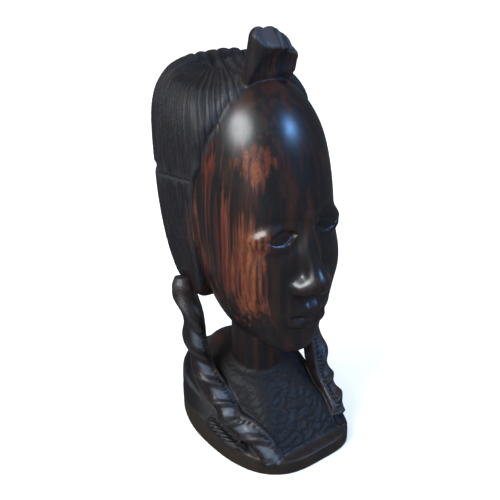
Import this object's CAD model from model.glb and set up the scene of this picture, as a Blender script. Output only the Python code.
# Bust of a woman carved from one block of dark, streaked hardwood.
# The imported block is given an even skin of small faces, every point of the skin is settled onto
# the carver's forms, and the cuts of the hair, tresses and chest are then pressed into it.

import math

import bpy
import numpy as np
from mathutils import Matrix, Vector


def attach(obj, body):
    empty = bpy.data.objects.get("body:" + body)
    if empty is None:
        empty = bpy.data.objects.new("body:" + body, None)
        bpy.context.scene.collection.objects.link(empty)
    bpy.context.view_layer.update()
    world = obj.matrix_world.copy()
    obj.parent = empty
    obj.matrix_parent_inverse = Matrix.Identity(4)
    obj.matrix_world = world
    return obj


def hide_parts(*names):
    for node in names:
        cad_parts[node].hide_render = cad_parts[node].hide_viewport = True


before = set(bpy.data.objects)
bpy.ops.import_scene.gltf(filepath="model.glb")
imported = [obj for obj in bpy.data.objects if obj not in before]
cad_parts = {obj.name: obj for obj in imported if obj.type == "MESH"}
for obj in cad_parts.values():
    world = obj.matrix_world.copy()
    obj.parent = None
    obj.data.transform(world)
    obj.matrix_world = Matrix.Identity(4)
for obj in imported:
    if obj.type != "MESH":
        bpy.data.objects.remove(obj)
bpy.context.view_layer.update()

MM = 0.001
SKIN = 0.66
MOST_FACES = 196000

# The carving is worked out in millimetres, +X to the figure's left and -Y her front. Its origin
# lies under the neck, and the frame's origin in the middle of the box, so a shift joins the two.
SHIFT = np.array([1.47, -5.66, 0.0])

CHIN, CROWN = 73.5, 228.0
EYE = (CHIN + CROWN) / 2
BROW = EYE + 11
NOSE = (BROW + CHIN) / 2
MOUTH = NOSE - (NOSE - CHIN) / 3
EYE_X = 15.2

WHORL_Y = 30.0


# Form functions: negative inside, zero on the surface, about the distance in millimetres outside

def vec(*v):
    return np.array(v, float)


def ellipsoid(p, centre, radii):
    q = p - vec(*centre)
    r = vec(*radii)
    k0 = np.linalg.norm(q / r, axis=1)
    k1 = np.linalg.norm(q / r**2, axis=1) + 1e-9
    return k0 * (k0 - 1) / k1


def rod(p, start, end, radii):
    start = vec(*start)
    axis = vec(*end) - start
    t = np.clip((p - start) @ axis / (axis @ axis), 0, 1)
    return np.linalg.norm(p - start - t[:, None] * axis, axis=1) - (radii[0] + (radii[1] - radii[0]) * t)


def plane(p, point, facing):
    facing = vec(*facing)
    return (p - vec(*point)) @ (facing / np.linalg.norm(facing))


def join(a, b, width):
    h = np.maximum(width - np.abs(a - b), 0) / width
    return np.minimum(a, b) - h * h * width / 4


def keep(a, b, width):
    return -join(-a, -b, width)


def ramp(x, low, high):
    t = np.clip((x - low) / (high - low), 0, 1)
    return t * t * (3 - 2 * t)


def dome(p, centre, half, front, back, above, below, square, shoulder, taper):
    x, y, z = (p - vec(*centre)).T
    side = np.abs(x) / half
    away = np.abs(y) / np.where(y < 0, front, back)
    turn = (side**square + away**square) ** (1 / square)
    level = np.abs(z) / np.where(z > 0, above, below)
    bend = np.where(z > 0, shoulder, taper)
    return ((turn**bend + level**bend) ** (1 / bend) - 1) * half


# Base, chest and neck

def base_plan(x, y):
    half = np.where(x > 0, 37.5, 40.2)
    square = np.where(x > 0, 4.6, 2.6)
    away = y - 7
    turn = np.hypot(x / half, away / 59)
    behind = turn * (turn - 1) / (np.hypot(x / half**2, away / 59**2) + 1e-9)
    side, front = np.abs(x) / half, np.abs(away) / 57.0
    turn = (side**square + front**square) ** (1 / square)
    return np.where(away > 0, behind, (turn - 1) * (half + (57.0 - half) * front**2))


def rim_height(y):
    return np.clip(10 + 0.235 * (y + 40), 9.5, 29.5)


def edge_height(y):
    """Where the polished side wall ends and the dark shoulder slope above it begins."""
    return np.minimum(12 + 4 * np.exp(-(((y - 12) / 18) ** 2)), rim_height(y) - 0.6)


def base_form(p):
    x, y, z = p.T
    rim, edge = rim_height(y), edge_height(y)
    inset = (0.8 + 6.0 * (1 - ramp(y, 12, 44))) * np.where(x < 0, 1.0, 0.5)
    inset = inset * (1 - 0.85 * ramp(-y, 34, 42))
    share = np.clip((z - edge) / (rim - edge), 0, 1)
    steep = np.hypot(1, inset / (rim - edge))
    wall = np.where(z > edge, (base_plan(x, y) + inset * share) / steep, base_plan(x, y))
    return keep(wall, z - rim, 1.5)


def mound_form(p):
    x, y, z = p.T
    form = join(ellipsoid(p, (0, 16, 4), (34, 46, 55)), ellipsoid(p, (2, -2, 0), (33, 60, 42)), 8)
    form = join(form, ellipsoid(p, (23, 9, 18), (14, 22, 26)), 8)
    slope = (z - 48 - 1.15 * (y + 10)) * 0.66
    form = keep(form, slope, 4)
    form = keep(form, (z - 48.5 - 0.15 * (y - 10)), 6)
    return keep(form, base_plan(x, y) + np.where(x < 0, 4.0, 2.5), 2)


def neck_form(p):
    return rod(p, (0, 7, 30), (0, 5, 100), (15, 15))


NECK_Y = 6.2


def torso_form(p):
    form = join(base_form(p), mound_form(p), 2)
    return join(form, neck_form(p), 2.5)


# Head and face

SKULL = ((0, 3, 172), 36.8, 41.6, 42.5, 54.8, 56, 2.1, 2, 2)
CAP = ((0, 24, 183.6), 40.6, 36, 42, 44, 118, 2.8, 3.1, 2.45)
HAIRLINE = ((90, 20), (109, 13.5), (131, 11.3), (151, 9), (175, 6.5), (183, 2.4), (193, 0.9), (201, -0.7),
            (206, -3.4), (214.5, -4.7), (221, -4.8), (225, -2.7), (228, -4.3), (240, -6))


def skull_form(p):
    return dome(p, *SKULL)


def face_form(p):
    q = p.copy()
    q[:, 0] = np.abs(q[:, 0])
    form = join(skull_form(q), ellipsoid(q, (0, -4, 125), (33.5, 38, 54)), 22)
    form = join(form, ellipsoid(q, (17, -19, EYE - 28), (15, 17, 20)), 12)
    form = join(form, ellipsoid(q, (0, -30, MOUTH), (18, 11.5, 16)), 12)
    form = join(form, ellipsoid(q, (0, -27, CHIN + 9), (13, 12, 10.5)), 14)
    form = keep(form, -ellipsoid(q, (EYE_X, -46, EYE + 1), (12.5, 9, 8.5)), 8)
    form = join(form, nose_form(q), 4.5)
    form = eye_form(q, form)
    return mouth_form(q, form)


def nose_form(q):
    bridge = rod(q, (0, -37.6, EYE + 7), (0, -47.6, NOSE + 8), (4.0, 5.4))
    tip = ellipsoid(q, (0, -49.0, NOSE + 6.0), (6.4, 5.6, 5.6))
    wing = ellipsoid(q, (7.6, -43.5, NOSE + 4.4), (4.9, 6.4, 4.8))
    nostril = ellipsoid(q, (4.6, -45.2, NOSE - 0.4), (2.6, 3.6, 2.4))
    return keep(join(join(bridge, tip, 6), wing, 4.5), -nostril, 2)


def eye_form(q, form):
    x, y, z = q.T
    across = x - EYE_X
    up = z - EYE + 0.06 * across
    middle = q - vec(EYE_X, -28.8, EYE)
    middle[:, 0] /= 1.25
    out = np.linalg.norm(middle, axis=1)
    lid = keep(out - 11.5, np.abs(up) - 7.4 + 0.03 * across**2, 3)
    form = join(form, lid, 4.5)
    radius, opening = 11.5, 4.4
    upper = np.hypot(across, up + radius - opening) - radius
    lower = np.hypot(across, up - radius - 1 + opening * 0.78) - radius - 1
    almond = keep(upper, lower, 0.3)
    form = keep(form, -keep(almond, y + 30, 0.2), 0.9)
    return join(form, out - 10.0, 0.5)


def mouth_form(q, form):
    form = join(form, ellipsoid(q, (0, -41.0, MOUTH - 4.4), (12.0, 5.4, 4.4)), 2)
    form = join(form, rod(q, (2.6, -43.0, MOUTH + 2.7), (13.0, -37.4, MOUTH + 0.6), (3.8, 1.8)), 5)
    form = keep(form, -rod(q, (0, -48.4, MOUTH + 0.2), (15, -39, MOUTH - 0.6), (1.4, 0.6)), 1)
    return keep(form, -rod(q, (0, -47.4, NOSE - 3), (0, -50.2, MOUTH + 8.0), (1.6, 2.4)), 4)


# Hair

def hairline(z):
    return np.interp(z, *zip(*HAIRLINE))


def hair_form(p):
    x, y, z = p.T
    tilted = p.copy()
    tilted[:, 2] -= 0.09 * (y - 24) * ramp(z, 184, 226)
    form = join(dome(tilted, *CAP), skull_form(p) - 1.4, 6)
    form = keep(form, 93 - z + 0.25 * (y - 24), 6)
    return keep(form, (hairline(z) - y) * 0.85, 2 + 3.5 * ramp(z, 178, 196))


def strand_angle(p):
    """The direction from the whorl in degrees, 0 at the middle of the forehead and 180 at the back."""
    x, y, z = p.T
    whorl = WHORL_Y + 6 * ramp(z, 190, 228)
    return np.degrees(np.arctan2(np.abs(x), -(y - whorl)))


# Topknot: four curled locks, each cut to a flat upper face and hollowed under it. For each lock come
# its foot, its top, the radii there, a point on the flat face, the way it faces, and the undercut's front.

LOCKS = (
    ((-5.4, -3.8, 220), (-5.2, -8.5, 247.2), (7.0, 5.6), (-7.0, -14.5, 244.2), (0.28, -0.77, 0.58), -6.4),
    ((1.2, -9.4, 220), (1.2, -9.2, 245.6), (6.2, 6.4), (0.0, -15.5, 241.8), (0.05, -0.78, 0.62), -7.4),
    ((6.2, -9.8, 220), (7.8, -9.4, 242.2), (5.8, 6.0), (7.0, -16.0, 238.6), (0.35, -0.70, 0.62), -8.2),
    ((11.0, -8.8, 220), (13.0, -8.6, 235.6), (5.2, 6.0), (13.0, -14.5, 234.4), (0.45, -0.60, 0.66), -7.8),
)


def knot_form(p):
    form = None
    for foot, top, radii, point, facing, front in LOCKS:
        lock = keep(rod(p, foot, top, radii), plane(p, point, facing), 0.6)
        middle = (foot[0] + top[0]) / 2
        hollow = ellipsoid(p, (max(middle, 0), front - 10.4, 231), (9, 10, 11))
        under = plane(p, (middle, front, 224), (0, -0.9, -0.44))
        lock = keep(keep(lock, under, 1), -hollow, 0.8)
        form = lock if form is None else join(form, lock, 0.5)
    return form


# Tresses: a path, its half width and the twist of its two strands

RIGHT_TRESS = ((-36.5, 27, 107), (-37.6, 25.4, 100.2), (-37.3, 18.4, 87.3), (-36.2, 18, 68.8),
               (-34.7, 17.3, 57.8), (-32.8, 14.8, 47.4), (-31.2, 8.6, 39.2), (-30.6, 2.6, 32.6),
               (-30.4, -7.2, 25.4), (-27.6, -22.6, 21.6), (-24.6, -34.4, 15.0), (-22.8, -38.0, 11.0))
LEFT_TRESS = ((33, 19, 107), (34.6, 10.5, 88), (34.9, 4.5, 72), (34.6, -3.2, 58), (34.0, -9.0, 47),
              (33.2, -13.2, 36.2), (32.4, -20.2, 26.4), (30.8, -29.4, 19.4), (29.0, -36.4, 12.6))
TRESS_SIZES = ((0, 5.2), (0.035, 7.0), (0.07, 7.6), (0.14, 7.6), (0.22, 7.5), (0.46, 7.3), (0.6, 7.8),
               (0.9, 8.4), (1, 7.4))
TURNS = ((0, -0.6), (10, -0.1), (32, 0.57), (45, 1.17), (62, 1.9), (82, 2.92), (95, 4.0), (111, 5.08),
         (126, 5.86), (136, 6.5))
STEPS = 220


def smooth_path(points):
    """Points close together on a centripetal curve through the given ones."""
    pts = np.array(points, float)
    pts = np.vstack([2 * pts[0] - pts[1], pts, 2 * pts[-1] - pts[-2]])
    made = []
    for i in range(1, len(pts) - 2):
        a, b, c, d = pts[i - 1:i + 3]
        ta = 0
        tb = ta + np.linalg.norm(b - a) ** 0.5
        tc = tb + np.linalg.norm(c - b) ** 0.5
        td = tc + np.linalg.norm(d - c) ** 0.5
        for t in np.linspace(tb, tc, 30, endpoint=i == len(pts) - 3):
            ab = (tb - t) / (tb - ta) * a + (t - ta) / (tb - ta) * b
            bc = (tc - t) / (tc - tb) * b + (t - tb) / (tc - tb) * c
            cd = (td - t) / (td - tc) * c + (t - tc) / (td - tc) * d
            abc = (tc - t) / (tc - ta) * ab + (t - ta) / (tc - ta) * bc
            bcd = (td - t) / (td - tb) * bc + (t - tb) / (td - tb) * cd
            made.append((tc - t) / (tc - tb) * abc + (t - tb) / (tc - tb) * bcd)
    made = np.array(made)
    length = np.concatenate([[0], np.cumsum(np.linalg.norm(np.diff(made, axis=0), axis=1))])
    even = np.linspace(0, length[-1], STEPS)
    return np.stack([np.interp(even, length, made[:, k]) for k in range(3)], axis=1), length[-1]


PATHS = [smooth_path(RIGHT_TRESS), smooth_path(LEFT_TRESS)]


def along_path(p, path, side):
    """Share of the length, angle round the path and distance from it; angle 0 is the side to the neck
    and the angle grows from the outer side over the front to the neck."""
    points, length = path
    tangent = np.gradient(points, axis=0)
    tangent /= np.linalg.norm(tangent, axis=1)[:, None]
    across = np.cross((0, 1, 0), -tangent)
    across /= np.linalg.norm(across, axis=1)[:, None]
    out = np.cross(-tangent, across)
    near = np.empty(len(p), int)
    for start in range(0, len(p), 20000):
        part = p[start:start + 20000]
        near[start:start + 20000] = ((part[:, None, :] - points[None]) ** 2).sum(2).argmin(1)
    q = p - points[near]
    forward = (q * tangent[near]).sum(1)
    share = np.clip(near / (STEPS - 1) + forward / length, 0, 1)
    a = (q * across[near]).sum(1) * -side
    b = (q * out[near]).sum(1)
    past = np.where((near == 0) | (near == STEPS - 1), forward, 0)
    return share, np.arctan2(b, a), np.sqrt(a * a + b * b + past * past)


def twist(share, length):
    return math.pi * np.interp(share * length, *zip(*TURNS))


def tress_section(share, angle, length):
    """Half width over the size at every angle: a twisted lens outside, a smooth corner to the neck."""
    turned = angle - twist(share, length)
    lens = -0.33 * np.abs(np.sin(turned)) + np.sqrt(1.053**2 - (0.33 * np.cos(turned)) ** 2)
    bar = 0.74 / np.maximum(np.abs(np.cos(angle)), np.abs(np.sin(angle)))
    section = lens + (bar - lens) * ramp(np.cos(angle), 0.3, 0.72)
    knob = 0.9 + 0.05 * np.abs(np.sin(2.5 * angle))
    return knob + (section - knob) * ramp(share * length, 4, 13)


def tress_form(p):
    form = np.full(len(p), 30.0)
    close = (np.abs(p[:, 0]) > 6) & (p[:, 2] < 120) & (p[:, 1] < 45)
    for side, path in zip((-1, 1), PATHS):
        mine = np.nonzero(close & (p[:, 0] * side > 0))[0]
        if len(mine) == 0:
            continue
        share, angle, away = along_path(p[mine], path, side)
        size = np.interp(share, *zip(*TRESS_SIZES))
        form[mine] = (away - size * tress_section(share, angle, path[1])) * 0.85
    return form


# Small braid: a row of ridges along the slope outside each tress

BRAID = ((6.2, 16.3), (-1.2, 15.0), (-8.5, 13.6), (-15.6, 12.3), (-22.6, 11.9), (-27.6, 11.5))
BRAID_X = 37.3
BRAID_PITCH = 3.7


def braid_form(p):
    """A low bead along the slope, with oblique ridges across it."""
    x, y, z = p.T
    side = np.where(x < 0, BRAID_X, BRAID_X - 2.2)
    way_y, way_z = np.array(BRAID).T
    lift = np.interp(y, way_y[::-1], way_z[::-1])
    ends = ramp(y, -31.5, -27.0) * ramp(-y, -8.5, -3.0)
    turn = (y + 0.9 * (z - lift) - 1.2 * (np.abs(x) - side)) / BRAID_PITCH
    ridge = np.abs((turn % 1) - 0.5) * 2
    width = 2.2 * ends + 1.25 * (1 - ridge**1.3) * ends * ramp(y, -28, -20) - 2.2 * (1 - ends)
    away = np.hypot(np.abs(x) - side, z - lift)
    return (away - width) * 0.8


def bust_form(p):
    form = join(torso_form(p), face_form(p), 3)
    low = p[:, 2] < 26
    if low.any():
        form[low] = join(form[low], braid_form(p[low]), 0.4 + 1.8 * ramp(-p[low, 1], 18, 25))
    form = join(form, hair_form(p), 1.2)
    form = join(form, knot_form(p), 1.2)
    form = join(form, tress_form(p), 1.0)
    return keep(form, -p[:, 2], 0.8)


# Skin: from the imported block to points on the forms

def work_on(obj):
    bpy.ops.object.select_all(action="DESELECT")
    obj.hide_viewport = False
    obj.select_set(True)
    bpy.context.view_layer.objects.active = obj


def block_out():
    """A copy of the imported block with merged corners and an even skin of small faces."""
    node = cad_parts["bust"]
    obj = bpy.data.objects.new("carved_bust", node.data.copy())
    obj.data.transform(node.matrix_world)
    bpy.context.scene.collection.objects.link(obj)
    work_on(obj)
    bpy.ops.object.mode_set(mode="EDIT")
    bpy.ops.mesh.select_all(action="SELECT")
    bpy.ops.mesh.remove_doubles(threshold=1e-6)
    bpy.ops.object.mode_set(mode="OBJECT")
    obj.data.materials.clear()
    skin = obj.modifiers.new("skin", "REMESH")
    skin.mode = "VOXEL"
    skin.voxel_size = SKIN * MM
    skin.use_smooth_shade = True
    bpy.ops.object.modifier_apply(modifier="skin")
    return obj


def read_points(obj):
    co = np.empty(len(obj.data.vertices) * 3, np.float32)
    obj.data.vertices.foreach_get("co", co)
    return co.reshape(-1, 3).astype(float) / MM - SHIFT


def write_points(obj, p):
    co = (p + SHIFT) * MM
    co[:, 2] = np.maximum(co[:, 2], 0)
    obj.data.vertices.foreach_set("co", co.astype(np.float32).ravel())
    obj.data.update()


def read_normals(obj):
    n = np.empty(len(obj.data.vertices) * 3, np.float32)
    obj.data.vertex_normals.foreach_get("vector", n)
    return n.reshape(-1, 3).astype(float)


CORNERS = np.array([(1, 1, 1), (1, -1, -1), (-1, 1, -1), (-1, -1, 1)], float)


def settle(p, rounds, stride=0.25, most=1.5):
    """Move every point along the form's slope until it lies on the form."""
    for _ in range(rounds):
        around = [bust_form(p + stride * corner) for corner in CORNERS]
        slope = sum(value[:, None] * corner for value, corner in zip(around, CORNERS)) / (4 * stride)
        height = sum(around) / 4
        steep = (slope**2).sum(1) + 1e-6
        step = -slope * (height / np.maximum(steep, 0.2))[:, None]
        size = np.linalg.norm(step, axis=1)
        p = p + step * np.minimum(1, most / np.maximum(size, 1e-9))[:, None]
    return p


def neighbours(obj):
    edges = np.empty(len(obj.data.edges) * 2, np.int32)
    obj.data.edges.foreach_get("vertices", edges)
    return edges.reshape(-1, 2).T


def spread_out(pairs, values, rounds, share=0.5):
    """Pull every value towards the middle of its neighbours' values."""
    a, b = pairs
    count = np.bincount(a, minlength=len(values)) + np.bincount(b, minlength=len(values))
    for _ in range(rounds):
        total = np.stack([np.bincount(a, v[b], len(v)) + np.bincount(b, v[a], len(v)) for v in values.T],
                         axis=1)
        values = values + share * (total / count[:, None] - values)
    return values


# Cuts pressed into the skin, in millimetres along the normal

PITCH = 5.4
ROLL = 7.2


def scatter(i):
    """A steady number between 0 and 1 for each whole number."""
    x = np.sin(i * 12.9898 + 4.1) * 43758.5453
    return x - np.floor(x)


def strand_cuts(p):
    """Uneven V grooves between the strands, which narrow to sharp points at the hairline."""
    x, y, z = p.T
    angle = strand_angle(p) + np.where(x > 0, 3.1, 0)
    turn = angle / PITCH + 0.35 * np.sin(angle / 5.3 + z / 40) + 0.12 * np.sin(angle / 2.1 + 1)
    number = np.round(turn)
    across = np.abs(turn - number) * 2
    behind = y - hairline(z) + 4.5 * scatter(number) - 1.0
    reach = ramp(behind, 0, 11)
    groove = np.clip(1 - across / (0.25 + 0.6 * reach), 0, 1) ** 0.9
    deep = (0.75 + 0.6 * scatter(number + 7)) * (0.3 + 0.7 * reach) * (behind > 0)
    side = 1 - 0.75 * ramp(angle, 50, 70)
    low = 0.3 + 0.7 * ramp(z, 150, 200)
    out = np.hypot(x, y - WHORL_Y)
    fine = 0.13 * np.sin(angle * 4.3 + 1.5 * np.sin(z / 11)) * np.sin(angle * 1.7 + z / 23)
    fine = fine * ramp(angle, 45, 65)
    return (-groove * deep * side * low + fine * ramp(behind, 1, 5)) * ramp(out, 10, 20)


def crown_rolls(p):
    """Uneven rolls of hair that run from the topknot over the crown to its back."""
    x, y, z = p.T
    turn = (x + 1.3 * np.sin(y / 9) - 0.35 * (y - WHORL_Y)) / ROLL
    valley = (1 - np.abs(np.sin(math.pi * turn))) ** 1.3
    out = np.hypot(x * 0.9, y - WHORL_Y)
    behind = y - hairline(z)
    deep = 1.0 + 0.5 * np.sin(x / 5 + y / 13)
    rolls = (0.3 - 1.9 * deep * valley) * ramp(z, 219, 225) * (1 - ramp(out, 22, 30)) * ramp(behind, 5, 11)
    dip = -2.3 * (1 - ramp(y, 33, 40)) * ramp(behind, 5, 14) * ramp(z, 220, 225)
    edge = 0.9 * ramp(y, 34, 39) * (1 - ramp(y, 46, 56)) * ramp(z, 218, 224) * ramp(-x, -2, 10)
    return rolls * ramp(x, -15, -6) + dip + edge


def hair_share(p):
    """1 on the combed hair and 0 on the face."""
    x, y, z = p.T
    edge = y - hairline(z) + 3.5 * ramp(z, 188, 202)
    return ramp(edge, -1.5, 2.5) * ramp(z, 96, 102)


def hair_cuts(p):
    return (strand_cuts(p) + crown_rolls(p)) * ramp(p[:, 2], 96, 102)


NOTCH = ((-43.0, 2.0, 175.3), (-40.6, 6.6, 174.7), (-40.9, 15.9, 173.2), (-40.4, 26.9, 171.0),
         (-39.7, 38.6, 169.2), (-38.4, 48.0, 168.0), (-35.0, 57.0, 167.4))
NOTCH_DEPTH = 1.5


def along_line(p, line):
    """Distance to a line of points."""
    best = np.full(len(p), 99.0)
    for start, end in zip(line[:-1], line[1:]):
        best = np.minimum(best, rod(p, start, end, (0, 0)))
    return best


def side_notch(p):
    """A saw-like cut across the strands of the right side, deepest towards the back."""
    near = np.nonzero((p[:, 0] < -20) & (np.abs(p[:, 2] - 172) < 8))[0]
    cut = np.zeros(len(p))
    away = along_line(p[near], NOTCH)
    behind = ramp(p[near, 1], 30, 44)
    open_end = ramp(p[near, 1], 34, 50)
    share = ramp(p[near, 1], 4, 8) * (1 + 0.6 * behind + 1.8 * open_end)
    cut[near] = -NOTCH_DEPTH * (1 - ramp(away, 0.4 * open_end, 1.2 + 0.8 * behind + 2.6 * open_end)) * share
    return cut


def chest_share(p):
    """1 on the gouged chest between the tresses, 0 elsewhere."""
    x, y, z = p.T
    rim = rim_height(y)
    above = ramp(z - rim, 0.6, 2.0)
    neck = np.hypot(x, y - NECK_Y)
    return above * ramp(neck, 14.4, 16.0) * (1 - ramp(z, 49, 53)) * (1 - ramp(y, 20, 30))


def gouge_strokes():
    """Centre, direction, length, width and depth of the short cuts on the chest."""
    dice = np.random.default_rng(11)
    strokes = []
    for row in range(32):
        for column in range(17):
            x = -31 + column * 3.9 + (row % 2) * 1.9 + dice.uniform(-1.6, 1.6)
            y = 24 - row * 2.2 + dice.uniform(-1.2, 1.2)
            turn = math.atan2(x, 14 - y) + dice.uniform(-0.5, 0.5)
            length, width, depth = dice.uniform(2.4, 4.4), dice.uniform(0.8, 1.3), dice.uniform(0.14, 0.38)
            strokes.append((x, y, turn, length, width, depth))
    return strokes


def chest_cuts(p):
    cut = np.zeros(len(p))
    mine = np.nonzero(chest_share(p) > 0.01)[0]
    q = p[mine]
    made = np.zeros(len(q))
    for x, y, turn, length, width, depth in gouge_strokes():
        close = np.nonzero((np.abs(q[:, 0] - x) < length) & (np.abs(q[:, 1] - y) < length))[0]
        dx, dy = q[close, 0] - x, q[close, 1] - y
        way = dx * math.cos(turn) + dy * math.sin(turn)
        off = -dx * math.sin(turn) + dy * math.cos(turn)
        reach = (way / length) ** 2 + (off / width) ** 2
        made[close] = np.minimum(made[close], -depth * (1 - ramp(reach, 0.25, 1.0)))
    cut[mine] = made * chest_share(q)
    return cut


def neck_groove(p):
    """A shallow groove where the neck stands in the chest."""
    x, y, z = p.T
    out = np.hypot(x, y - NECK_Y)
    front = ramp(-y, -16, -4)
    return -0.16 * (1 - ramp(np.abs(out - 17), 0, 3.4)) * front * ramp(z, 36, 42) * (1 - ramp(z, 54, 60))


KNOT_GROOVES = (((4.3, -8.5, 250), (4.6, -17.5, 238)), ((10.4, -8.5, 246), (10.8, -17.5, 233)),
                ((10.8, -17.5, 233), (9.6, -10.5, 225)))


def knot_cuts(p):
    """Grooves between the locks of the topknot."""
    near = np.full(len(p), 9.0)
    for top, foot in KNOT_GROOVES:
        near = np.minimum(near, rod(p, top, foot, (0, 0)))
    return -0.9 * (1 - ramp(near, 0, 1.5))


def tress_place(p):
    """Angle round the tress, millimetres along it and distance off it, for points near a tress."""
    angle = np.zeros(len(p))
    along = np.zeros(len(p))
    off = np.full(len(p), 9.0)
    close = (np.abs(p[:, 0]) > 6) & (p[:, 2] < 122) & (p[:, 1] < 45)
    for side, path in zip((-1, 1), PATHS):
        mine = np.nonzero(close & (p[:, 0] * side > 0))[0]
        s, a, away = along_path(p[mine], path, side)
        size = np.interp(s, *zip(*TRESS_SIZES)) * tress_section(s, a, path[1])
        angle[mine], along[mine], off[mine] = a, s * path[1], away - size
    return angle, along, off


def facet_share(angle, along, off):
    """1 on the flat chisel facets that face outwards, once for every half turn of the twist."""
    turned = angle - math.pi * np.interp(along, *zip(*TURNS))
    outer = (1 - ramp(np.cos(angle), 0.1, 0.45)) * ramp(np.cos(angle), -0.9, -0.5)
    return ramp(np.abs(np.sin(turned)), 0.62, 0.84) * outer * (1 - ramp(off, 0.5, 1.4)) * ramp(along, 16, 22)


def tress_cuts(angle, along, off):
    """Scooped facets on the outer side and uneven nicks along the inner ridge."""
    on = 1 - ramp(off, 0.5, 1.4)
    inner = np.cos(angle)
    nick = ramp(inner, 0.05, 0.3) * (1 - ramp(inner, 0.42, 0.66))
    uneven = 0.5 + 0.5 * np.sin(along * 2.3 + 1.2 * np.sin(along * 0.7))
    nick = nick * uneven * ramp(along, 24, 34)
    return -0.62 * facet_share(angle, along, off) - on * 0.6 * nick


# Marks kept on every point, which the wood's colour, polish and finest cuts follow

def warm_share(p):
    """How much the red-brown sapwood figure shows, strongest on the right cheek and temple."""
    x, y, z = p.T
    edge = ramp(-x, 21.5 + 1.2 * np.sin(z / 9), 24.5 + 1.2 * np.sin(z / 9))
    cheek = edge * ramp(z, 80, 116) * (1 - ramp(z, 150, 186))
    cheek = cheek * (1 - 0.4 * ramp(y, -22, -10)) * (1 - ramp(y, 6, 14))
    patch = np.exp(-(((x + 23) / 9) ** 2 + ((y + 27) / 9) ** 2 + ((z - 191) / 12) ** 2))
    streak = np.exp(-(((y - 14) / 2.4) ** 2 + ((z - 158) / 26) ** 2)) * ramp(-x, 30, 36)
    temple = 0.7 * np.exp(-(((x + 33) / 8) ** 2 + ((y + 4) / 10) ** 2 + ((z - 178) / 18) ** 2))
    left = 0.6 * np.exp(-(((x - 31) / 5) ** 2 + ((y + 18) / 9) ** 2 + ((z - 132) / 14) ** 2))
    neck = 0.08 * np.exp(-(((x + 13) / 5) ** 2 + ((z - 62) / 12) ** 2)) * ramp(-y, -14, -2)
    return np.clip(cheek + 1.2 * patch + 0.7 * streak + temple + left + neck, 0, 1.3)


def wall_share(p):
    """1 on the satin side wall and front rim of the base."""
    x, y, z = p.T
    plan = base_plan(x, y)
    below = 1 - ramp(z - edge_height(y), -0.2, 0.5)
    front = ramp(-y, 28, 40) * (1 - ramp(z - rim_height(y), 0.5, 1.5)) * ramp(plan, -9, -5)
    return np.clip(below * ramp(plan, -3, -1) + front, 0, 1) * (1 - 0.45 * ramp(-y, 30, 44))


def slope_share(p):
    """1 on the dark slope between the side wall and the tress."""
    x, y, z = p.T
    above = ramp(z - edge_height(y), -0.2, 0.5)
    return above * (1 - ramp(z - rim_height(y), 0.4, 1.2)) * (1 - ramp(z, 31, 33))


def hollow_share(obj, p, rounds):
    """Positive in hollows and negative on edges, in millimetres."""
    smooth = spread_out(neighbours(obj), p, rounds)
    return ((smooth - p) * read_normals(obj)).sum(1)


def knot_facets(p):
    """1 on the flat upper faces of the topknot's locks."""
    near = np.full(len(p), 9.0)
    for foot, top, radii, point, facing, _ in LOCKS:
        off = np.abs(plane(p, point, facing))
        near = np.where(rod(p, foot, top, radii) < 0.3, np.minimum(near, off), near)
    return (1 - ramp(near, 0.35, 0.8)) * ramp(p[:, 2], 232, 234)


# Rounds of smoothing that show up a fine cut or edge, and a wide valley
CUT_ROUNDS, VALLEY_ROUNDS = 4, 24


def keep_marks(obj):
    p = read_points(obj)
    angle, along, off = tress_place(p)
    tress = (1 - ramp(off, 0.4, 1.2)) * ramp(p[:, 2], 1, 4)
    on_knot = 1 - ramp(knot_form(p), 0.2, 1.0)
    near_wall = wall_share(p)
    marks = {
        "hair": np.clip(hair_share(p) - on_knot, 0, 1) * (1 - tress),
        "strand": strand_angle(p),
        "knot": on_knot,
        "tress": tress,
        "along": along,
        "facet": np.maximum(facet_share(angle, along, off) * (1 - 0.7 * ramp(p[:, 0], 0, 10)),
                            0.35 * knot_facets(p)),
        "chest": chest_share(p) * (1 - tress),
        "wall": near_wall * (1 - tress),
        "slope": slope_share(p) * (1 - tress) * (1 - near_wall),
        "warm": warm_share(p),
        "hollow": hollow_share(obj, p, CUT_ROUNDS),
        "valley": hollow_share(obj, p, VALLEY_ROUNDS),
    }
    for name, value in marks.items():
        mark = obj.data.attributes.new(name, "FLOAT", "POINT")
        mark.data.foreach_set("value", value.astype(np.float32))


# Wood

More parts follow.
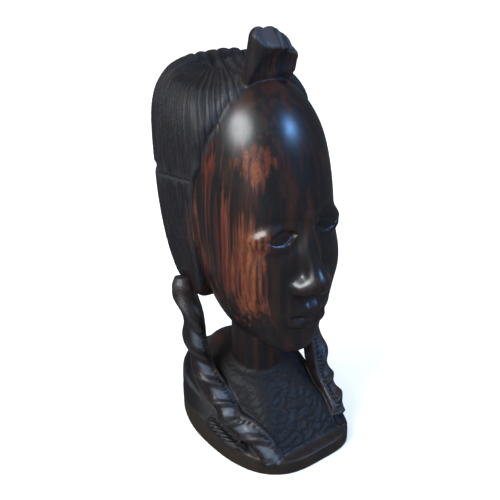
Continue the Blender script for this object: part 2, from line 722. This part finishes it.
class Tree:
    """Short ways to add and link nodes in one node tree."""

    def __init__(self, tree):
        self.tree = tree

    def add(self, kind, inputs=(), **settings):
        node = self.tree.nodes.new(kind)
        for name, value in settings.items():
            setattr(node, name, value)
        for socket, value in dict(inputs).items():
            self.put(node.inputs[socket], value)
        return node

    def put(self, socket, value):
        if isinstance(value, bpy.types.NodeSocket):
            self.tree.links.new(value, socket)
        else:
            socket.default_value = value

    def math(self, operation, a, b=0.0, c=0.0):
        node = self.add("ShaderNodeMath", operation=operation)
        for socket, value in zip(node.inputs, (a, b, c)):
            self.put(socket, value)
        return node.outputs[0]

    def ramp(self, value, low, high, start=0.0, end=1.0):
        node = self.add("ShaderNodeMapRange", interpolation_type="SMOOTHSTEP")
        for socket, number in zip(node.inputs, (value, low, high, start, end)):
            self.put(socket, number)
        return node.outputs[0]

    def blend(self, share, a, b):
        node = self.add("ShaderNodeMix", data_type="RGBA")
        self.put(node.inputs["Factor"], share)
        self.put(node.inputs["A"], a)
        self.put(node.inputs["B"], b)
        return node.outputs["Result"]

    def mark(self, name):
        return self.add("ShaderNodeAttribute", attribute_name=name).outputs["Fac"]

    def stretched(self, place, scale):
        node = self.add("ShaderNodeVectorMath", {1: scale}, operation="MULTIPLY")
        self.put(node.inputs[0], place)
        return node.outputs[0]

    def noise(self, place, scale, detail=2.0, rough=0.5, distortion=0.0):
        inputs = {"Vector": self.stretched(place, scale), "Scale": 1.0, "Detail": detail,
                  "Roughness": rough, "Distortion": distortion}
        return self.add("ShaderNodeTexNoise", inputs).outputs["Fac"]


def new_group(name, inputs, outputs):
    tree = bpy.data.node_groups.new(name, "ShaderNodeTree")
    for label, kind in inputs:
        tree.interface.new_socket(label, in_out="INPUT", socket_type=kind)
    for label, kind in outputs:
        tree.interface.new_socket(label, in_out="OUTPUT", socket_type=kind)
    made = Tree(tree)
    return made, made.add("NodeGroupInput"), made.add("NodeGroupOutput")


COLOUR, NUMBER, PLACE = "NodeSocketColor", "NodeSocketFloat", "NodeSocketVector"
NIGHT = (0.0075, 0.0062, 0.0066, 1)
BROWN = (0.023, 0.0092, 0.0062, 1)
EMBER = (0.080, 0.0145, 0.0056, 1)
AMBER = (0.150, 0.037, 0.0095, 1)
OLIVE = (0.020, 0.0145, 0.009, 1)
SLATE = (0.0034, 0.0037, 0.0048, 1)
DUST = (0.026, 0.028, 0.034, 1)
RAVEN = (0.0068, 0.0070, 0.0098, 1)
FROST = (0.088, 0.108, 0.135, 1)


def figure_group():
    """The wood's figure: dark heart, brown streaks and, where it is warm, orange stripes."""
    g, given, made = new_group("Streaked heartwood", [("Place", PLACE), ("Warm", NUMBER)],
                               [("Color", COLOUR)])
    place, warm = given.outputs[:2]
    broad = g.noise(place, (0.10, 0.10, 0.007), 2, 0.5, 0.5)
    stripe = g.noise(place, (0.34, 0.34, 0.0065), 2.0, 0.55, 0.0)
    fine = g.noise(place, (2.4, 2.4, 0.05), 3, 0.6, 0.1)
    ring = g.noise(place, (0.11, 0.11, 0.035), 1, 0.4, 0.2)
    lines = g.math("SINE", g.math("MULTIPLY", ring, 120.0))
    colour = g.blend(g.ramp(broad, 0.46, 0.66), NIGHT, BROWN)
    colour = g.blend(g.math("MULTIPLY", g.ramp(stripe, 0.54, 0.68), 0.6), colour, BROWN)
    heat = g.math("ADD", g.math("MULTIPLY", warm, 0.5), g.math("MULTIPLY_ADD", stripe, 1.9, -0.95))
    glow = g.ramp(heat, 0.16, 0.78)
    tone = g.ramp(g.math("ADD", broad, g.math("MULTIPLY", fine, 0.4)), 0.58, 0.85)
    ember = g.blend(tone, EMBER, AMBER)
    ember = g.blend(g.math("MULTIPLY", g.ramp(lines, 0.2, 1.0), 0.12), ember, BROWN)
    colour = g.blend(g.math("MULTIPLY", glow, g.ramp(warm, 0.02, 0.25)), colour, ember)
    shade = g.ramp(fine, 0.25, 0.75, 0.68, 1.25)
    scaled = g.add("ShaderNodeVectorMath", operation="SCALE")
    g.put(scaled.inputs[0], colour)
    g.put(scaled.inputs["Scale"], shade)
    g.put(made.inputs["Color"], scaled.outputs[0])
    return g.tree


def cuts_group():
    """The finest hand work: strand lines, chisel hatching and small gouge marks, as one height."""
    names = ["Hair", "Strand", "Tress", "Along", "Chest", "Slope"]
    g, given, made = new_group("Fine hand cuts", [("Place", PLACE)] + [(n, NUMBER) for n in names],
                               [("Height", NUMBER)])
    place, hair, strand, tress, along, chest, slope = given.outputs[:7]
    sway = g.noise(place, (0.09, 0.09, 0.09), 2)
    turn = g.math("MULTIPLY_ADD", sway, 5.0, g.math("MULTIPLY", strand, 3.9))
    line = g.math("SINE", turn)
    second = g.math("SINE", g.math("MULTIPLY_ADD", strand, 9.7, g.math("MULTIPLY", sway, 16.0)))
    comb = g.math("MULTIPLY_ADD", second, 0.45, line)
    comb = g.math("MULTIPLY", comb, g.ramp(strand, 30, 70, 0.25, 1.0))
    hatch = g.math("SINE", g.math("MULTIPLY_ADD", sway, 9.0, g.math("MULTIPLY", along, 5.2)))
    chip = g.noise(place, (1.1, 0.7, 1.1), 3, 0.6, 0.4)
    grain = g.noise(place, (3.2, 3.2, 0.22), 2)
    total = g.math("MULTIPLY", comb, g.math("MULTIPLY", hair, 0.085))
    total = g.math("MULTIPLY_ADD", hatch, g.math("MULTIPLY", tress, 0.035), total)
    rough = g.math("ADD", chest, g.math("MULTIPLY_ADD", slope, 0.6, g.math("MULTIPLY", tress, 0.4)))
    rough = g.math("MULTIPLY_ADD", hair, g.ramp(strand, 45, 75, 0.1, 0.55), rough)
    total = g.math("MULTIPLY_ADD", chip, g.math("MULTIPLY", rough, 0.55), total)
    total = g.math("MULTIPLY_ADD", grain, 0.02, total)
    g.put(made.inputs["Height"], g.math("MULTIPLY", total, MM))
    return g.tree


def polish_group():
    """Roughness by how far each part was polished, duller in the cuts and worn bright on edges."""
    names = ["Hair", "Knot", "Tress", "Chest", "Wall", "Slope", "Hollow"]
    g, given, made = new_group("Hand polish", [("Place", PLACE)] + [(n, NUMBER) for n in names],
                               [("Roughness", NUMBER), ("Coat", NUMBER)])
    place, hair, knot, tress, chest, wall, slope, hollow = given.outputs[:8]
    rubbed = g.noise(place, (0.22, 0.22, 0.12), 3, 0.6)
    pores = g.noise(place, (3.0, 3.0, 0.3), 2)
    level = g.ramp(rubbed, 0.3, 0.7, 0.28, 0.4)
    duller = ((hair, 0.13), (knot, 0.16), (tress, 0.05), (chest, 0.42), (wall, 0.13), (slope, 0.14))
    for share, amount in duller:
        level = g.math("MULTIPLY_ADD", share, amount, level)
    level = g.math("ADD", level, g.ramp(hollow, 0.0, 0.12, 0.0, 0.15))
    level = g.math("MULTIPLY_ADD", pores, 0.08, level)
    cover = g.math("ADD", hair, g.math("ADD", chest, g.math("ADD", slope, wall)))
    cover = g.math("ADD", cover, g.math("MULTIPLY_ADD", tress, 0.6, knot))
    g.put(made.inputs["Roughness"], g.math("MINIMUM", level, 0.75))
    g.put(made.inputs["Coat"], g.ramp(cover, 0.0, 0.9, 0.55, 0.05))
    return g.tree


def dark_wood():
    material = bpy.data.materials.new("Dark polished wood")
    material.use_nodes = True
    m = Tree(material.node_tree)
    shader = m.tree.nodes["Principled BSDF"]
    object_place = m.add("ShaderNodeTexCoord").outputs["Object"]
    place = m.stretched(object_place, (1 / MM, 1 / MM, 1 / MM))
    names = ("Hair", "Strand", "Knot", "Tress", "Along", "Chest", "Slope", "Wall", "Hollow", "Valley", "Warm",
             "Facet")
    marks = {name: m.mark(name.lower()) for name in names}

    def use(group):
        node = m.add("ShaderNodeGroup", node_tree=group)
        for socket in node.inputs:
            m.put(socket, place if socket.name == "Place" else marks[socket.name])
        return node

    figure = use(figure_group())
    colour = figure.outputs["Color"]
    colour = m.blend(m.math("MULTIPLY", marks["Hair"], 0.65), colour, RAVEN)
    colour = m.blend(m.math("MULTIPLY", marks["Tress"], 0.5), colour, NIGHT)
    colour = m.blend(m.math("MULTIPLY", marks["Wall"], 0.75), colour, OLIVE)
    colour = m.blend(m.math("MULTIPLY", marks["Chest"], 0.8), colour, SLATE)
    colour = m.blend(m.math("MULTIPLY", marks["Slope"], 0.8), colour, SLATE)
    colour = m.blend(m.ramp(marks["Hollow"], 0.03, 0.22, 0.0, 0.7), colour, NIGHT)
    colour = m.blend(m.ramp(marks["Valley"], 0.5, 2.2, 0.0, 0.75), colour, NIGHT)
    cut = m.math("MAXIMUM", marks["Hair"], m.math("MAXIMUM", marks["Tress"], marks["Slope"]))
    worn = m.math("MULTIPLY", m.ramp(marks["Hollow"], -0.02, -0.12), m.math("MULTIPLY", cut, 0.45))
    colour = m.blend(worn, colour, DUST)
    colour = m.blend(m.math("MULTIPLY", marks["Facet"], 0.6), colour, FROST)
    m.put(shader.inputs["Base Color"], colour)
    polish = use(polish_group())
    m.put(shader.inputs["Roughness"], polish.outputs["Roughness"])
    m.put(shader.inputs["Coat Weight"], polish.outputs["Coat"])
    shader.inputs["Coat Roughness"].default_value = 0.25
    shader.inputs["Specular IOR Level"].default_value = 0.4
    fine_cuts = use(cuts_group())
    bump = m.add("ShaderNodeBump", {"Height": fine_cuts.outputs["Height"], "Strength": 1.0, "Distance": 1.0})
    m.put(shader.inputs["Normal"], bump.outputs["Normal"])
    return material


# The whole bust

BRAID_ENDS = ((-33.0, -26.5, 14.5), (31.5, -26.5, 14.5))


def soften_spikes(obj, rounds):
    """Pull in only the points that stand out or sink in sharply from their neighbours."""
    for _ in range(rounds):
        p = read_points(obj)
        smooth = spread_out(neighbours(obj), p, 1, 1.0)
        off = np.linalg.norm(smooth - p, axis=1)
        write_points(obj, p + ramp(off, 0.16, 0.34)[:, None] * (smooth - p))


def carve(obj):
    """Settle the skin on the forms, smooth the braids' ends, then press the cuts in."""
    p = read_points(obj)
    pairs = neighbours(obj)
    p = settle(p, 3)
    p = settle(spread_out(pairs, p, 4), 3)
    p = settle(spread_out(pairs, p, 2), 1)
    p = spread_out(pairs, p, 2, 0.35)
    for end in BRAID_ENDS:
        near = 1 - ramp(np.linalg.norm(p - end, axis=1), 3.5, 7.5)
        p = p + near[:, None] * (spread_out(pairs, p, 12, 1.0) - p)
    write_points(obj, p)
    n = read_normals(obj)
    angle, along, off = tress_place(p)
    off_tress = ramp(off, 0.5, 1.4)
    cut = hair_cuts(p) + side_notch(p)
    cut = cut * off_tress + (chest_cuts(p) + neck_groove(p)) * off_tress + tress_cuts(angle, along, off)
    knot = 1 - ramp(knot_form(p), 0.2, 1.0)
    cut = cut * (1 - knot) + knot_cuts(p) * ramp(p[:, 2], 228, 231)
    write_points(obj, p + n * cut[:, None])
    soften_spikes(obj, 4)


def thin_out(obj):
    """Take out the faces that matter least, down to the most that the mesh may have."""
    faces = sum(len(f.vertices) - 2 for f in obj.data.polygons)
    if faces <= MOST_FACES:
        return
    thin = obj.modifiers.new("thin", "DECIMATE")
    thin.ratio = MOST_FACES / faces
    work_on(obj)
    bpy.ops.object.modifier_apply(modifier="thin")


def make_bust():
    obj = block_out()
    carve(obj)
    thin_out(obj)
    keep_marks(obj)
    obj.data.materials.append(dark_wood())
    work_on(obj)
    bpy.ops.object.shade_smooth()
    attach(obj, "root")
    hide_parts("bust")
    return obj


# Room

def make_floor():
    bpy.ops.object.select_all(action="DESELECT")
    bpy.ops.mesh.primitive_plane_add(size=6)
    floor = bpy.context.object
    floor.name = "floor"
    floor.visible_glossy = False
    paint = bpy.data.materials.new("Pale floor")
    paint.use_nodes = True
    shader = paint.node_tree.nodes["Principled BSDF"]
    shader.inputs["Base Color"].default_value = (0.93, 0.93, 0.93, 1)
    shader.inputs["Roughness"].default_value = 0.9
    floor.data.materials.append(paint)


def aim(obj, place, target, roll=0.0):
    place = Vector(place)
    turn = (Vector(target) - place).to_track_quat("-Z", "Y").to_matrix()
    obj.matrix_world = Matrix.Translation(place) @ (turn @ Matrix.Rotation(roll, 3, "Z")).to_4x4()


HEAD = (0.0, 0.0, 0.19)


def add_light(name, way, distance, size, watts, colour=(1, 1, 1)):
    """A soft box in the given direction from the head."""
    lamp = bpy.data.lights.new(name, "AREA")
    lamp.shape = "ELLIPSE"
    lamp.size, lamp.size_y = size
    lamp.energy = watts
    lamp.color = colour
    obj = bpy.data.objects.new(name, lamp)
    bpy.context.scene.collection.objects.link(obj)
    aim(obj, Vector(HEAD) + Vector(way).normalized() * distance, HEAD)


def make_daylight():
    """Even soft light from above that whitens the floor without showing in the polish."""
    lamp = bpy.data.lights.new("daylight", "SUN")
    lamp.energy = 3.3
    lamp.angle = math.radians(150)
    obj = bpy.data.objects.new("daylight", lamp)
    obj.visible_glossy = False
    bpy.context.scene.collection.objects.link(obj)


def make_lights():
    scene = bpy.context.scene
    scene.view_settings.view_transform = "Standard"
    world = bpy.data.worlds.new("Studio")
    scene.world = world
    world.use_nodes = True
    back = world.node_tree.nodes["Background"]
    tree = Tree(world.node_tree)
    tree.put(back.inputs["Color"], (0.85, 0.91, 1.0, 1))
    seen = tree.add("ShaderNodeLightPath").outputs["Is Camera Ray"]
    tree.put(back.inputs["Strength"], tree.math("MULTIPLY_ADD", seen, 0.8, 0.09))
    add_light("window", (-0.80, -0.08, 0.58), 0.9, (0.60, 0.50), 10.6, (0.93, 0.98, 1.0))
    add_light("sky", (0.42, -0.74, 0.52), 1.0, (0.30, 0.30), 6.6, (0.18, 0.46, 1.0))
    add_light("cool side", (-0.9, -0.6, 0.15), 1.6, (0.9, 0.9), 1.6, (0.6, 0.8, 1.0))
    make_daylight()


CAMERA_PLACE = (-264.9, -353.9, 365.0)
CAMERA_TARGET = (-12.2, -6.0, 130.0)
FOCAL_PIXELS = 890
FRAME_PIXELS = 500
CAMERA_ROLL = -1.3


def make_camera():
    data = bpy.data.cameras.new("camera")
    data.sensor_width = 36
    data.lens = FOCAL_PIXELS / FRAME_PIXELS * data.sensor_width
    data.clip_start = 0.01
    camera = bpy.data.objects.new("camera", data)
    bpy.context.scene.collection.objects.link(camera)
    place, target = (vec(*CAMERA_PLACE) + SHIFT) * MM, (vec(*CAMERA_TARGET) + SHIFT) * MM
    aim(camera, place, target, math.radians(CAMERA_ROLL))
    bpy.context.scene.camera = camera


make_camera()
make_floor()
make_lights()
make_bust()
